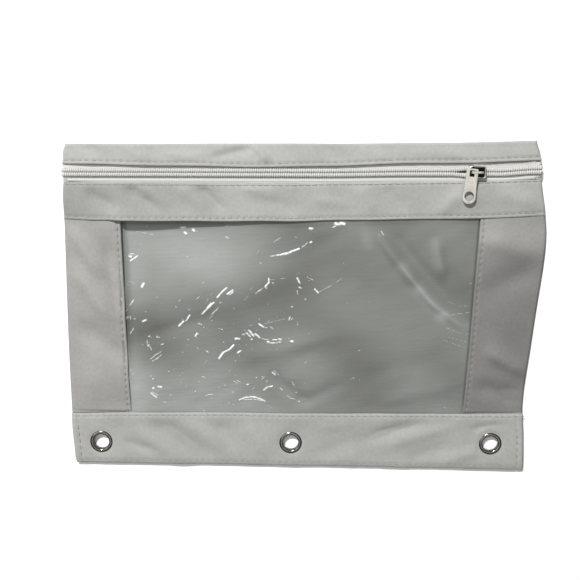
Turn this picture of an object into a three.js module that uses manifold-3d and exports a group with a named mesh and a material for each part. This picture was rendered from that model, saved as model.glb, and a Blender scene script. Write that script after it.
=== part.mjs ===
// A flat zipped pouch for a ring binder, lying on its back.
// X runs across the width, Y runs up the page towards the zip, Z runs out of the face.
// The origin is the middle of the footprint, on the surface that the pouch lies on.
import * as THREE from 'three';
import { mergeVertices } from 'three/addons/utils/BufferGeometryUtils.js';
import Module from 'manifold-3d';

const wasm = await Module();
wasm.setup();

// ---- driving dimensions, in millimetres ----
const HALF_WIDTH = 125;
const TOP_Y = 89;
const BOTTOM_Y = -89;
const PLY = 0.4; // woven fabric
const CLEAR = 0.3; // between neighbouring pieces
const LAYER = PLY + CLEAR;

const ZIP_Y = 74.6; // the middle of the coil
const TOP_BAND_EDGE = 78.4;
const LOWER_BAND_TOP = 69.1;
const LOWER_BAND_EDGE = 49.3;
const WINDOW_HALF = 94; // half of the width that shows between the side panels
const LAP = 1.5; // hidden under the neighbouring piece
const LIP_TOP = -57.8;
const LIP_EDGE = -62.4;
const STRIP_TOP = -65.4;

const TAPE_Z = 3.2;
const COIL_Z = 3.9;
const COIL_TOP = 5.3;
const COIL_INNER = 0.75;
const COIL_OUTER = 2.6;
const COIL_END = 118;
const BAND_Z = TAPE_Z + LAYER; // underside of the bands beside the coil
const BAND_TOP = BAND_Z + PLY;

const WINDOW_Z = 4.8; // underside of the window: the room inside is 4.4 mm deep
const WINDOW_PLY = 0.3;
const PANEL_INNER_Z = 5.88; // top of a side panel beside the window
const PANEL_OUTER_Z = 4.6; // and at the pouch's side edge
const LOWER_BAND_Z = 6.8; // top of the lower band at its lower edge
const LIP_Z = 6.8;

// The outer holes are 216 mm apart, as a three-ring binder's are. The middle one was set a
// little left of half way.
const RING_X = [-110.5, -5.1, 105.5];
const EYELET_Y = -75;
const HOLE_R = 4.25;
const BARREL_R = 4.6;
const RIM_R = 6.5;
const CLOTH_HOLE_R = 5.9; // cut wide of the barrel, under the rim
const STRIP_Z = 0.7;

const SLIDER_X = 91.5;
const POST_X = -2.8; // of the pull's post, from the middle of the slider
const PULL_LEAN = -5.3; // degrees
const PULL_Z = 6.7;

// ---- materials ----
const material = (color, roughness, metalness = 0) =>
  new THREE.MeshStandardMaterial({ color, roughness, metalness });
const FABRIC = material('#b4b4b0', 0.85);
const BAND = material('#c4c4c0', 0.85);
const WEBBING = material('#cfcec9', 0.8);
const NYLON = material('#dad9d4', 0.45);
const NICKEL = material('#c9c6bd', 0.28, 1);
const PVC = new THREE.MeshStandardMaterial({
  color: '#a9aaa7', roughness: 0.15, transparent: true, opacity: 0.45,
});

const part = new THREE.Group();

function add(name, geometry, look, x = 0, y = 0, z = 0) {
  const mesh = new THREE.Mesh(geometry, look);
  mesh.name = name;
  mesh.position.set(x, y, z);
  part.add(mesh);
  return mesh;
}

// ---- solids ----
function toSolid(geometry) {
  const bare = geometry.clone();
  bare.deleteAttribute('normal');
  bare.deleteAttribute('uv');
  const merged = mergeVertices(bare, 1e-4);
  return new wasm.Manifold(new wasm.Mesh({
    numProp: 3,
    vertProperties: new Float32Array(merged.attributes.position.array),
    triVerts: new Uint32Array(merged.index.array),
  }));
}

function toGeometry(solid) {
  const mesh = solid.getMesh();
  const geometry = new THREE.BufferGeometry();
  geometry.setAttribute('position', new THREE.BufferAttribute(mesh.vertProperties, 3));
  geometry.setIndex(new THREE.BufferAttribute(mesh.triVerts, 1));
  geometry.computeVertexNormals();
  return geometry;
}

function block(x0, x1, y0, y1, z0, z1) {
  const box = new THREE.BoxGeometry(x1 - x0, y1 - y0, z1 - z0);
  return box.translate((x0 + x1) / 2, (y0 + y1) / 2, (z0 + z1) / 2);
}

// A flat outline in X and Y, from z0 up.
function plate(shape, z0, depth, curveSegments = 12) {
  const flat = new THREE.ExtrudeGeometry(shape, {
    depth, bevelEnabled: false, curveSegments,
  });
  return flat.translate(0, 0, z0);
}

// A profile drawn in Y (first) and Z (second), run along X between two ends.
function alongX(shape, x0, x1, curveSegments = 12) {
  const bar = new THREE.ExtrudeGeometry(shape, {
    depth: x1 - x0, bevelEnabled: false, curveSegments,
  });
  const turn = new THREE.Matrix4().makeBasis(
    new THREE.Vector3(0, 1, 0), new THREE.Vector3(0, 0, 1), new THREE.Vector3(1, 0, 0));
  return bar.applyMatrix4(turn).translate(x0, 0, 0);
}

// A profile drawn in X (first) and Z (second), run along Y between two ends.
function alongY(shape, y0, y1, curveSegments = 12) {
  const bar = new THREE.ExtrudeGeometry(shape, {
    depth: y1 - y0, bevelEnabled: false, curveSegments,
  });
  const turn = new THREE.Matrix4().makeBasis(
    new THREE.Vector3(1, 0, 0), new THREE.Vector3(0, 0, 1), new THREE.Vector3(0, -1, 0));
  return bar.applyMatrix4(turn).translate(0, y1, 0);
}

// The outline of a strip of even thickness whose upper side goes through these points.
function strapShape(points, thickness) {
  const shape = new THREE.Shape();
  points.forEach(([along, z], i) => (i ? shape.lineTo(along, z) : shape.moveTo(along, z)));
  [...points].reverse().forEach(([along, z]) => shape.lineTo(along, z - thickness));
  shape.closePath();
  return shape;
}

const acrossWidth = (points, thickness = PLY) =>
  alongX(strapShape(points, thickness), -HALF_WIDTH, HALF_WIDTH);

// ---- fabric and window ----
function back() {
  add('back_panel', acrossWidth([[LIP_TOP + 0.3, PLY], [TOP_BAND_EDGE, PLY]]), FABRIC);
}

// One strip is folded over the top edge: a front leg, a back leg and the fold, which holds the
// turned-in edge of the back.
function topBand() {
  const outer = BAND_TOP / 2;
  const foldY = TOP_Y - outer;
  add('top_band_front', acrossWidth([[TOP_BAND_EDGE, BAND_TOP], [foldY - CLEAR, BAND_TOP]]),
    BAND);
  add('top_band_back', acrossWidth([[TOP_BAND_EDGE + CLEAR, PLY], [foldY - CLEAR, PLY]]), BAND);
  const fold = new THREE.Shape();
  fold.moveTo(foldY, 0);
  fold.absarc(foldY, outer, outer, -Math.PI / 2, Math.PI / 2, false);
  fold.closePath();
  add('top_band_fold', alongX(fold, -HALF_WIDTH, HALF_WIDTH, 8), BAND);
}

function front() {
  add('lower_band', acrossWidth([
    [LOWER_BAND_EDGE, LOWER_BAND_Z], [LOWER_BAND_TOP, BAND_TOP],
  ]), BAND);
  const panelBottom = LIP_TOP - 0.2;
  const panelTop = LOWER_BAND_EDGE + LAP;
  for (const [name, side] of [['left', -1], ['right', 1]]) {
    const slope = [[side * WINDOW_HALF, PANEL_INNER_Z], [side * HALF_WIDTH, PANEL_OUTER_Z]];
    if (side < 0) slope.reverse();
    add(`side_panel_${name}`, alongY(strapShape(slope, PLY), panelBottom, panelTop), FABRIC);
    // The seam allowance, turned inside, closes the side.
    const seam = [side * (HALF_WIDTH - 0.4), side * (HALF_WIDTH - 3.6)].sort((a, b) => a - b);
    add(`side_seam_${name}`, block(...seam, panelBottom + 4.6, 60.5, LAYER,
      PANEL_OUTER_Z - PLY - CLEAR), FABRIC);
  }
  add('window_sheet', block(-WINDOW_HALF - LAP, WINDOW_HALF + LAP, panelBottom, panelTop,
    WINDOW_Z, WINDOW_Z + WINDOW_PLY), PVC);
}

// The binder strip's upper edge laps the bottom of the pouch on both sides.
function stripLips() {
  add('lip_front', acrossWidth([[LIP_EDGE, STRIP_Z + LAYER + PLY], [LIP_TOP, LIP_Z]], 0.6),
    BAND);
  add('lip_back', acrossWidth([
    [LIP_EDGE, STRIP_Z + PLY], [LIP_EDGE + 1.4, PLY], [LIP_TOP, PLY],
  ]), BAND);
}

function stripPly(name, z) {
  const ply = new THREE.Shape();
  ply.moveTo(-HALF_WIDTH, BOTTOM_Y);
  ply.lineTo(HALF_WIDTH, BOTTOM_Y);
  ply.lineTo(HALF_WIDTH, STRIP_TOP);
  ply.lineTo(-HALF_WIDTH, STRIP_TOP);
  ply.closePath();
  for (const x of RING_X) {
    const hole = new THREE.Path();
    hole.absarc(x, EYELET_Y, CLOTH_HOLE_R, 0, 2 * Math.PI, true);
    ply.holes.push(hole);
  }
  add(name, plate(ply, z, PLY), BAND);
}

// A ring turned about Z, from a closed profile of [radius, z] points.
function turned(points) {
  const profile = [...points, points[0]].map(([r, z]) => new THREE.Vector2(r, z));
  return new THREE.LatheGeometry(profile, 24).rotateX(Math.PI / 2);
}

function binderStrip() {
  stripPly('strip_back_ply', STRIP_Z);
  stripPly('strip_front_ply', STRIP_Z + LAYER);
  const rim = STRIP_Z + 2 * LAYER;
  const names = ['left', 'middle', 'right'];
  RING_X.forEach((x, i) => {
    add(`eyelet_${names[i]}`, turned([
      [HOLE_R, 0.1], [BARREL_R, 0.1], [BARREL_R, rim], [RIM_R, rim], [RIM_R, rim + 0.4],
      [RIM_R - 0.5, rim + 0.8], [HOLE_R + 0.6, rim + 0.8], [HOLE_R, rim + 0.3],
    ]), NICKEL, x, EYELET_Y);
    add(`washer_${names[i]}`, turned([
      [BARREL_R + CLEAR, 0], [RIM_R, 0], [RIM_R, PLY], [BARREL_R + CLEAR, PLY],
    ]), NICKEL, x, EYELET_Y);
  });
}

// ---- zip ----
function zip() {
  const end = HALF_WIDTH - 0.1;
  add('zip_tape_upper', block(-end, end, ZIP_Y + COIL_INNER, 83, TAPE_Z, TAPE_Z + PLY), WEBBING);
  add('zip_tape_lower', block(-end, end, 61, ZIP_Y - COIL_INNER, TAPE_Z, TAPE_Z + PLY), WEBBING);
  add('coil_upper', block(-COIL_END, COIL_END, ZIP_Y + COIL_INNER, ZIP_Y + COIL_OUTER,
    COIL_Z, COIL_TOP), NYLON);
  add('coil_lower', block(-COIL_END, COIL_END, ZIP_Y - COIL_OUTER, ZIP_Y - COIL_INNER,
    COIL_Z, COIL_TOP), NYLON);
  zipEnd('zip_end_left', -1);
  zipEnd('zip_end_right', 1);
}

// The tape's end is folded round the side edge of the pouch.
function zipEnd(name, side) {
  const mid = TAPE_Z + PLY / 2;
  const inner = PLY / 2 + CLEAR;
  const legEnd = COIL_END + 0.4;
  const bend = HALF_WIDTH + 0.4;
  const fold = new THREE.Shape();
  fold.moveTo(legEnd, mid + inner);
  fold.lineTo(bend, mid + inner);
  fold.absarc(bend, mid, inner, Math.PI / 2, -Math.PI / 2, true);
  fold.lineTo(legEnd, mid - inner);
  fold.lineTo(legEnd, mid - inner - PLY);
  fold.lineTo(bend, mid - inner - PLY);
  fold.absarc(bend, mid, inner + PLY, -Math.PI / 2, Math.PI / 2, false);
  fold.lineTo(legEnd, mid + inner + PLY);
  fold.closePath();
  const turn = side < 0 ? Math.PI : 0;
  const half = (TOP_BAND_EDGE - LOWER_BAND_TOP) / 2 - 0.4;
  const piece = alongY(fold, -half, half, 6).rotateZ(turn);
  add(name, piece, WEBBING, 0, (TOP_BAND_EDGE + LOWER_BAND_TOP) / 2);
}

const SLIDER_HALF = 4.6; // half of its length
const SHOULDER = 3.4; // half of its width at the wide end
const TAIL = 3.1;

function sliderPlate(z0, thickness) {
  const outline = new THREE.Shape();
  outline.moveTo(-SLIDER_HALF + 1.4, -SHOULDER);
  outline.lineTo(SLIDER_HALF - 0.8, -TAIL);
  outline.quadraticCurveTo(SLIDER_HALF, -TAIL, SLIDER_HALF, -TAIL + 0.8);
  outline.lineTo(SLIDER_HALF, TAIL - 0.8);
  outline.quadraticCurveTo(SLIDER_HALF, TAIL, SLIDER_HALF - 0.8, TAIL);
  outline.lineTo(-SLIDER_HALF + 1.4, SHOULDER);
  outline.quadraticCurveTo(-SLIDER_HALF, SHOULDER, -SLIDER_HALF, SHOULDER - 1.6);
  outline.lineTo(-SLIDER_HALF, -SHOULDER + 1.6);
  outline.quadraticCurveTo(-SLIDER_HALF, -SHOULDER, -SLIDER_HALF + 1.4, -SHOULDER);
  return plate(outline, z0, thickness, 4);
}

// The bridge over the top plate that holds the pull, seen from the side.
function bridge(base) {
  const top = PULL_Z + 2.1;
  const arch = new THREE.Shape();
  arch.moveTo(POST_X - 0.5, base);
  arch.lineTo(POST_X - 0.5, top - 0.7);
  arch.quadraticCurveTo(POST_X - 0.4, top, POST_X + 0.4, top);
  arch.lineTo(1.9, top);
  arch.quadraticCurveTo(3.1, top, 3.3, base);
  arch.lineTo(2.4, base);
  arch.quadraticCurveTo(2.3, top - 0.8, 1.7, top - 0.8);
  arch.lineTo(POST_X + 0.5, top - 0.8);
  arch.lineTo(POST_X + 0.5, base);
  arch.closePath();
  return alongY(arch, -0.6, 0.6, 5);
}

function slider() {
  const topZ = COIL_TOP + CLEAR;
  const bottomZ = TAPE_Z - CLEAR;
  const flangeInner = COIL_OUTER + 0.3;
  const flangeZ = TAPE_Z + PLY + CLEAR;
  const pieces = [
    sliderPlate(topZ, 0.8),
    sliderPlate(bottomZ - 0.8, 0.8),
    block(-3.9, -1.4, -0.45, 0.45, bottomZ - 0.4, topZ + 0.4),
    block(-2.6, 3.6, flangeInner, TAIL, flangeZ, topZ + 0.4),
    block(-2.6, 3.6, -TAIL, -flangeInner, flangeZ, topZ + 0.4),
    bridge(topZ + 0.4),
  ];
  const whole = pieces.map(toSolid).reduce((sum, piece) => sum.add(piece));
  add('slider_body', toGeometry(whole), NICKEL, SLIDER_X, ZIP_Y);
}

// The pull hangs from the slider's left post: a window for the post, an arm and a ring end.
function pull() {
  const endR = 3.4;
  const endY = -13.05;
  const neck = 3.05;
  const outline = new THREE.Shape();
  outline.moveTo(-neck + 0.8, 2);
  outline.quadraticCurveTo(-neck, 2, -neck, 1.2);
  outline.lineTo(-neck, -5);
  outline.quadraticCurveTo(-neck, -8.5, -endR, -11);
  outline.lineTo(-endR, endY);
  outline.absarc(0, endY, endR, Math.PI, 2 * Math.PI, false);
  outline.lineTo(endR, -11);
  outline.quadraticCurveTo(neck, -8.5, neck, -5);
  outline.lineTo(neck, 1.2);
  outline.quadraticCurveTo(neck, 2, neck - 0.8, 2);
  outline.closePath();
  const eye = new THREE.Path();
  eye.absarc(0, -12.35, 2.5, 0, 2 * Math.PI, true);
  const postWindow = new THREE.Path();
  postWindow.moveTo(-1.3, 1.1);
  postWindow.lineTo(1.3, 1.1);
  postWindow.lineTo(1.3, -2.2);
  postWindow.lineTo(-1.3, -2.2);
  postWindow.closePath();
  outline.holes.push(eye, postWindow);
  const mesh = add('pull_tab', plate(outline, 0, 0.9, 8), NICKEL,
    SLIDER_X + POST_X, ZIP_Y, PULL_Z);
  mesh.rotation.z = THREE.MathUtils.degToRad(PULL_LEAN);
}

back();
topBand();
front();
stripLips();
binderStrip();
zip();
slider();
pull();

export default part;
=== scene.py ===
# %% [markdown]
# # A zipped pouch with a clear window
# The pouch lies on its back: X runs across it, Y runs up the page to the zip, Z points out of
# the face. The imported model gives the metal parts, the joints and the box to stay inside.
# Everything soft is made here, because cloth needs more surface than a CAD solid has.

# %% Load the frame
import math
import bmesh
import bpy
import numpy as np
from mathutils import Matrix, Vector


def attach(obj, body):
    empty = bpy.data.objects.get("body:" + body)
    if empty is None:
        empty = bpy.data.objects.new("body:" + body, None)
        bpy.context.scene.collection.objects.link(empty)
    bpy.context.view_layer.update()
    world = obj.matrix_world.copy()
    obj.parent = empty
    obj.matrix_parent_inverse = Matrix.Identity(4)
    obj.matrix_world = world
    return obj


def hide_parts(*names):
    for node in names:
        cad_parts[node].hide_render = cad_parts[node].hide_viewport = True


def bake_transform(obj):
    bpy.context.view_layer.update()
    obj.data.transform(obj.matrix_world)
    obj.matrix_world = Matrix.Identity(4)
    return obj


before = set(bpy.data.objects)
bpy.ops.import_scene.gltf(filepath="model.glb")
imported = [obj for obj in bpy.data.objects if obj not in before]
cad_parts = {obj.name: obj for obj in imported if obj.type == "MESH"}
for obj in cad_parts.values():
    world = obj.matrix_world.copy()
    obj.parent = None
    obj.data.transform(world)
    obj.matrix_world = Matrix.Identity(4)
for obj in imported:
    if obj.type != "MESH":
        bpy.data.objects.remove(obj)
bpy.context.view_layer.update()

MM = 0.001

# %% [markdown]
# ## Camera
# The view is nearly straight down on the face, with the zip a little nearer than the strip.
# The camera is written as a photographer would set it: distance, pitch, yaw and roll of the
# pouch before the lens, and how far the pouch lies from the middle of the view.


# %% Camera
def put(name, data):
    """A new object in the scene, at the origin."""
    made = bpy.data.objects.new(name, data)
    bpy.context.scene.collection.objects.link(made)
    return made


DISTANCE = 488
PITCH, YAW, ROLL = (math.radians(a) for a in (10.9, -0.7, -0.1))
OFF_CENTRE = (5.6, -10.7)
LENS, SENSOR = 55.86, 36

turn = Matrix.Rotation(ROLL, 4, "Z")
turn = turn @ Matrix.Rotation(PITCH, 4, "X") @ Matrix.Rotation(YAW, 4, "Y")
shift = Matrix.Translation(Vector((*OFF_CENTRE, -DISTANCE)) * MM)
camera = put("camera", bpy.data.cameras.new("camera"))
camera.data.lens, camera.data.sensor_width = LENS, SENSOR
camera.data.clip_start, camera.data.clip_end = 0.01, 20
camera.matrix_world = (shift @ turn).inverted()
bpy.context.scene.camera = camera
print("camera at", [round(c, 3) for c in camera.matrix_world.translation])

# %% [markdown]
# ## Materials
# Each one starts from what the real thing is made of. One helper adds a node with its settings
# and links, one sets the shader's own inputs the same way, and one function turns the hex
# colours of a swatch card into linear light.


# %% Node helper
def linear(hex_colour):
    channels = [int(hex_colour[i : i + 2], 16) / 255 for i in (1, 3, 5)]
    return (*[c / 12.92 if c <= 0.04045 else ((c + 0.055) / 1.055) ** 2.4 for c in channels], 1)


def new_material(name):
    material = bpy.data.materials.new(name)
    material.use_nodes = True
    tree = material.node_tree
    shader = next(n for n in tree.nodes if n.type == "BSDF_PRINCIPLED")
    return material, tree, shader


def feed(tree, made, inputs):
    """Gives a node its inputs, by name or number: a socket is linked, a value is stored."""
    for key, value in inputs.items():
        if isinstance(value, bpy.types.NodeSocket):
            tree.links.new(value, made.inputs[key])
        else:
            made.inputs[key].default_value = value


def node(tree, kind, inputs=None, **settings):
    """Adds a node with its settings and inputs."""
    made = tree.nodes.new(kind)
    for key, value in settings.items():
        setattr(made, key, value)
    feed(tree, made, inputs or {})
    return made


def ramp(tree, source, stops):
    """A colour ramp through (position, colour) stops; a number stands for a grey."""
    made = node(tree, "ShaderNodeValToRGB", {0: source})
    elements = made.color_ramp.elements
    while len(elements) < len(stops):
        elements.new(0.5)
    for element, (position, value) in zip(elements, stops):
        element.position = position
        element.color = linear(value) if isinstance(value, str) else (value, value, value, 1)
    return made.outputs["Color"]


print("node helpers ready")

# %% [markdown]
# ### Woven polyester
# The body of the pouch is a plain-weave polyester cloth, about 0.3 mm from thread to thread.
# That is finer than the view can hold, so the threads are drawn twice as coarse and shallow.
# What the eye gets is a dull, slightly uneven surface with faint lines across and down, and
# cloudy patches where the coating behind the cloth is thicker. Where the points of a piece
# carry a value for it, the cloth is darkened: painted shade for slopes turned from the light.


# %% Woven polyester
THREAD_PITCH = 0.6 * MM
CLOUD = 24 * MM
SLUBS = (620, 520, 1)  # to a metre, so a thick place in a thread is 1.6 by 1.9 mm
BANDS = 3.183  # a wave texture draws this many bands to a unit


def woven(name, light, dark, roughness=0.8):
    material, tree, shader = new_material(name)
    cut = node(tree, "ShaderNodeUVMap", uv_map="cut").outputs["UV"]
    threads = []
    for axis in ("X", "Y"):
        wave = node(tree, "ShaderNodeTexWave", {
            "Vector": cut, "Scale": 1 / THREAD_PITCH / BANDS, "Distortion": 1.5,
            "Detail": 1.0, "Detail Scale": 0.4,
        }, wave_type="BANDS", bands_direction=axis)
        threads.append(wave.outputs["Fac"])
    weave = node(tree, "ShaderNodeMath", {0: threads[0], 1: threads[1]}, operation="ADD")
    cloud = node(tree, "ShaderNodeTexNoise", {
        "Vector": cut, "Scale": 1 / CLOUD, "Detail": 3.0, "Roughness": 0.55,
    })
    slub_space = node(tree, "ShaderNodeMapping", {"Vector": cut, "Scale": SLUBS})
    slub = node(tree, "ShaderNodeTexNoise", {
        "Vector": slub_space.outputs["Vector"], "Scale": 1.0, "Detail": 2.0,
    })
    base = ramp(tree, cloud.outputs["Fac"], [(0.3, dark), (0.7, light)])
    thread_tint = ramp(tree, slub.outputs["Fac"], [(0.3, 0.9), (0.7, 1.0)])
    tinted = node(tree, "ShaderNodeMix", {0: 1.0, 6: base, 7: thread_tint},
        data_type="RGBA", blend_type="MULTIPLY")
    # Painted shade: the cloth is darkened as far as the points of a piece say.
    painted_shade = node(tree, "ShaderNodeAttribute", attribute_name="painted_shade").outputs["Fac"]
    shaded = node(tree, "ShaderNodeMix", {
        0: 1.0, 6: tinted.outputs[2], 7: ramp(tree, painted_shade, [(0.0, 1.0), (1.0, 0.5)]),
    }, data_type="RGBA", blend_type="MULTIPLY")
    bump = node(tree, "ShaderNodeBump", {
        "Height": weave.outputs[0], "Strength": 0.3, "Distance": 0.05 * MM,
    })
    soft = node(tree, "ShaderNodeBump", {
        "Height": slub.outputs["Fac"], "Strength": 0.3, "Distance": 0.08 * MM,
        "Normal": bump.outputs["Normal"],
    })
    feed(tree, shader, {
        "Base Color": shaded.outputs[2], "Normal": soft.outputs["Normal"],
        "Roughness": roughness, "Sheen Weight": 0.08, "Sheen Roughness": 0.5,
        "Specular IOR Level": 0.3,
    })
    return material


# Both are the same cloth; the panels' copy is a shade darker than the bands': painted shade.
PANEL_CLOTH = woven("woven_polyester_panel", "#9f9e9b", "#949390")
BAND_CLOTH = woven("woven_polyester_band", "#a8a8a4", "#9d9d99")
print("cloth", PANEL_CLOTH.name, BAND_CLOTH.name)

# %% [markdown]
# ### Zip tape, coil and thread
# Zip tape is a knitted polyester band with fine ribs across it, a little paler than the cloth.
# The coil is nylon monofilament wound into teeth, smooth and slightly translucent. The sewing
# thread is twisted polyester.


# %% Zip tape, coil and thread
RIB_PITCH = 1.1 * MM


def knitted_tape(name, light, dark):
    material, tree, shader = new_material(name)
    cut = node(tree, "ShaderNodeUVMap", uv_map="cut").outputs["UV"]
    ribs = node(tree, "ShaderNodeTexWave", {
        "Vector": cut, "Scale": 1 / RIB_PITCH / BANDS, "Distortion": 0.4, "Detail": 1.0,
    }, wave_type="BANDS", bands_direction="X")
    rows = node(tree, "ShaderNodeTexWave", {
        "Vector": cut, "Scale": 1 / RIB_PITCH / BANDS, "Distortion": 0.3, "Detail": 1.0,
    }, wave_type="BANDS", bands_direction="Y")
    knit = node(tree, "ShaderNodeMath", {0: ribs.outputs["Fac"], 1: rows.outputs["Fac"]},
        operation="ADD")
    bump = node(tree, "ShaderNodeBump", {
        "Height": knit.outputs[0], "Strength": 0.5, "Distance": 0.12 * MM,
    })
    feed(tree, shader, {
        "Base Color": ramp(tree, knit.outputs[0], [(0.1, dark), (0.9, light)]),
        "Normal": bump.outputs["Normal"], "Roughness": 0.75, "Sheen Weight": 0.15,
    })
    return material


def spun(name, light, dark, roughness, grain):
    """Nylon or thread: one colour with a fine uneven grain."""
    material, tree, shader = new_material(name)
    place = node(tree, "ShaderNodeTexCoord").outputs["Object"]
    noise = node(tree, "ShaderNodeTexNoise", {"Vector": place, "Scale": 1 / grain, "Detail": 2.0})
    bump = node(tree, "ShaderNodeBump", {
        "Height": noise.outputs["Fac"], "Strength": 0.3, "Distance": 0.05 * MM,
    })
    feed(tree, shader, {
        "Base Color": ramp(tree, noise.outputs["Fac"], [(0.35, dark), (0.65, light)]),
        "Normal": bump.outputs["Normal"], "Roughness": roughness,
    })
    return material


TAPE = knitted_tape("knitted_polyester_tape", "#c8c7c2", "#b6b5af")
NYLON = spun("nylon_coil", "#cbc9c4", "#bebcb6", 0.6, 0.8 * MM)
THREAD = spun("twisted_polyester_thread", "#96958f", "#84837d", 0.6, 0.4 * MM)
print("zip", TAPE.name, NYLON.name, THREAD.name)

# %% [markdown]
# ### Clear vinyl
# The window is soft PVC film. It is clear and glossy, but it has been folded and rubbed. Glints
# off its creases are painted on it as short white strokes and specks: painted highlights. It has
# a faint haze in places, and the same value carries painted light and shade. Three values kept on
# the film's points say where: one for the strokes, one for the specks round them and one for the
# haze. Fine ripples run across it everywhere.


# %% Clear vinyl
def clear_vinyl():
    material, tree, shader = new_material("clear_pvc_film")
    cut = node(tree, "ShaderNodeUVMap", uv_map="cut").outputs["UV"]
    painted_glint_specks, haze_and_painted_light, painted_glint_strokes = (
        node(tree, "ShaderNodeAttribute", attribute_name=name).outputs["Fac"]
        for name in ("painted_glint_specks", "haze_and_painted_light", "painted_glint_strokes"))

    def noise(length, width, slant, offset, detail=1.0, distortion=0.0):
        """Noise drawn out to a length and width in metres, turned by a slant in degrees."""
        turned = node(tree, "ShaderNodeMapping", {
            "Vector": cut, "Location": (offset, offset, 0),
            "Rotation": (0, 0, -math.radians(slant)),
        })
        drawn = node(tree, "ShaderNodeMapping", {
            "Vector": turned.outputs["Vector"], "Scale": (1 / length, 1 / width, 1),
        })
        return node(tree, "ShaderNodeTexNoise", {
            "Vector": drawn.outputs["Vector"], "Scale": 1.0, "Detail": detail,
            "Distortion": distortion,
        }).outputs["Fac"]

    def maths(kind, a, b):
        return node(tree, "ShaderNodeMath", {0: a, 1: b}, operation=kind).outputs[0]

    # Painted highlights: the white strokes and specks stand in for glints off the creased film.
    dashes = maths("MAXIMUM", noise(8 * MM, 0.8 * MM, 46, 0.31, 1.0, 0.1),
        noise(5 * MM, 0.8 * MM, -30, 0.77, 1.0, 0.2))
    glint_dots = noise(1.9 * MM, 1.1 * MM, 20, 0.53)
    stroke = maths("MAXIMUM", dashes, glint_dots)
    level = maths("ADD", stroke, maths("MULTIPLY", painted_glint_specks, 0.17))
    specks = ramp(tree, level, [(0.81, 0.0), (0.86, 1.0)])
    broken = maths("MULTIPLY", painted_glint_strokes, maths("ADD", 0.42, noise(1.6 * MM, 1.1 * MM, 50, 0.19)))
    white = maths("MAXIMUM", specks, ramp(tree, broken, [(0.28, 0.0), (0.82, 1.0)]))

    ripples = maths("ADD", noise(16 * MM, 1.5 * MM, 4, 0.11, 2.0, 0.6),
        noise(9 * MM, 5 * MM, 12, 0.67, 2.0, 0.4))
    veil = maths("MAXIMUM", white, maths("MULTIPLY", haze_and_painted_light, 0.3))
    # The film's colour goes from dark to pale with the haze value, which carries painted light and
    # shade as well as haze.
    clouded = ramp(tree, haze_and_painted_light, [(0.0, "#6b6d68"), (1.0, "#babdb9")])
    streaks = ramp(tree, noise(7 * MM, 0.8 * MM, 3, 0.43, 2.0, 1.2), [(0.3, 0.95), (0.7, 1.0)])
    film = node(tree, "ShaderNodeMix", {0: 1.0, 6: clouded, 7: streaks},
        data_type="RGBA", blend_type="MULTIPLY").outputs[2]
    colour = node(tree, "ShaderNodeMix", {0: white, 6: film, 7: linear("#ffffff")},
        data_type="RGBA")
    alpha = node(tree, "ShaderNodeMapRange", {"Value": veil, 3: 0.66, 4: 1.0})
    height = maths("ADD", maths("MULTIPLY", white, 1.5), ripples)
    bump = node(tree, "ShaderNodeBump", {
        "Height": height, "Strength": 0.5, "Distance": 0.28 * MM,
    })
    feed(tree, shader, {
        "Base Color": colour.outputs[2], "Alpha": alpha.outputs[0],
        "Normal": bump.outputs["Normal"], "Roughness": 0.3, "IOR": 1.53,
        "Specular IOR Level": 0.35, "Coat Weight": 0.12, "Coat Roughness": 0.15,
    })
    return material


VINYL = clear_vinyl()
print("window", VINYL.name)

# %% [markdown]
# ### Nickel plate
# The slider and pull are die-cast zinc, the eyelets and washers rolled steel, and all are
# nickel plated: a warm grey metal that is bright but not a mirror. Tumbling leaves it with
# fine dull patches.


# %% Nickel plate
def nickel(name, light, dark, roughness):
    material, tree, shader = new_material(name)
    place = node(tree, "ShaderNodeTexCoord").outputs["Object"]
    patch = node(tree, "ShaderNodeTexNoise", {
        "Vector": place, "Scale": 1 / (1.8 * MM), "Detail": 4.0, "Roughness": 0.6,
    })
    dull = node(tree, "ShaderNodeMapRange", {
        "Value": patch.outputs["Fac"], 3: roughness * 0.8, 4: roughness * 1.35,
    })
    bump = node(tree, "ShaderNodeBump", {
        "Height": patch.outputs["Fac"], "Strength": 0.06, "Distance": 0.03 * MM,
    })
    feed(tree, shader, {
        "Base Color": ramp(tree, patch.outputs["Fac"], [(0.3, dark), (0.7, light)]),
        "Roughness": dull.outputs[0], "Normal": bump.outputs["Normal"], "Metallic": 1.0,
    })
    return material


CASTING = nickel("nickel_plated_zinc", "#e6e2d8", "#d6d1c5", 0.22)
# The eyelets' nickel is set far darker than the slider's: painted shade for the dark reflections on
# their rims.
EYELET_METAL = nickel("nickel_plated_steel", "#8f8c85", "#6b6861", 0.16)
print("metal", CASTING.name, EYELET_METAL.name)

# %% [markdown]
# ## Drawing cloth
# Every soft piece is a grid of points in millimetres, thick enough to hold a hem and a row of
# stitches. The "cut" UV map keeps where each point lay on the flat cloth, in metres, so the
# weave follows the piece when it bends.


# %% Cloth helpers
def smooth(a, b, t):
    s = np.clip((np.asarray(t, float) - a) / (b - a), 0, 1)
    return s * s * (3 - 2 * s)


def bell(t, middle, width):
    return np.exp(-(((t - middle) / width) ** 2))


def ripple(x, y, size, seed):
    """Smooth uneven waves between about -1 and 1, the same ones each time."""
    draw = np.random.default_rng(seed)
    total = np.zeros(np.broadcast(x, y).shape)
    for _ in range(7):
        angle, phase = draw.uniform(0, math.tau, 2)
        length = size * draw.uniform(0.7, 1.8)
        total += np.sin(math.tau * (x * math.cos(angle) + y * math.sin(angle)) / length + phase)
    return total / 4


CREASE_DEPTH = 3.2  # the fold lists are written shallow, and this makes them real
STITCH_PITCH = 3.6
HEM_ROW = 2.1  # from a folded edge to its stitches


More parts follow.
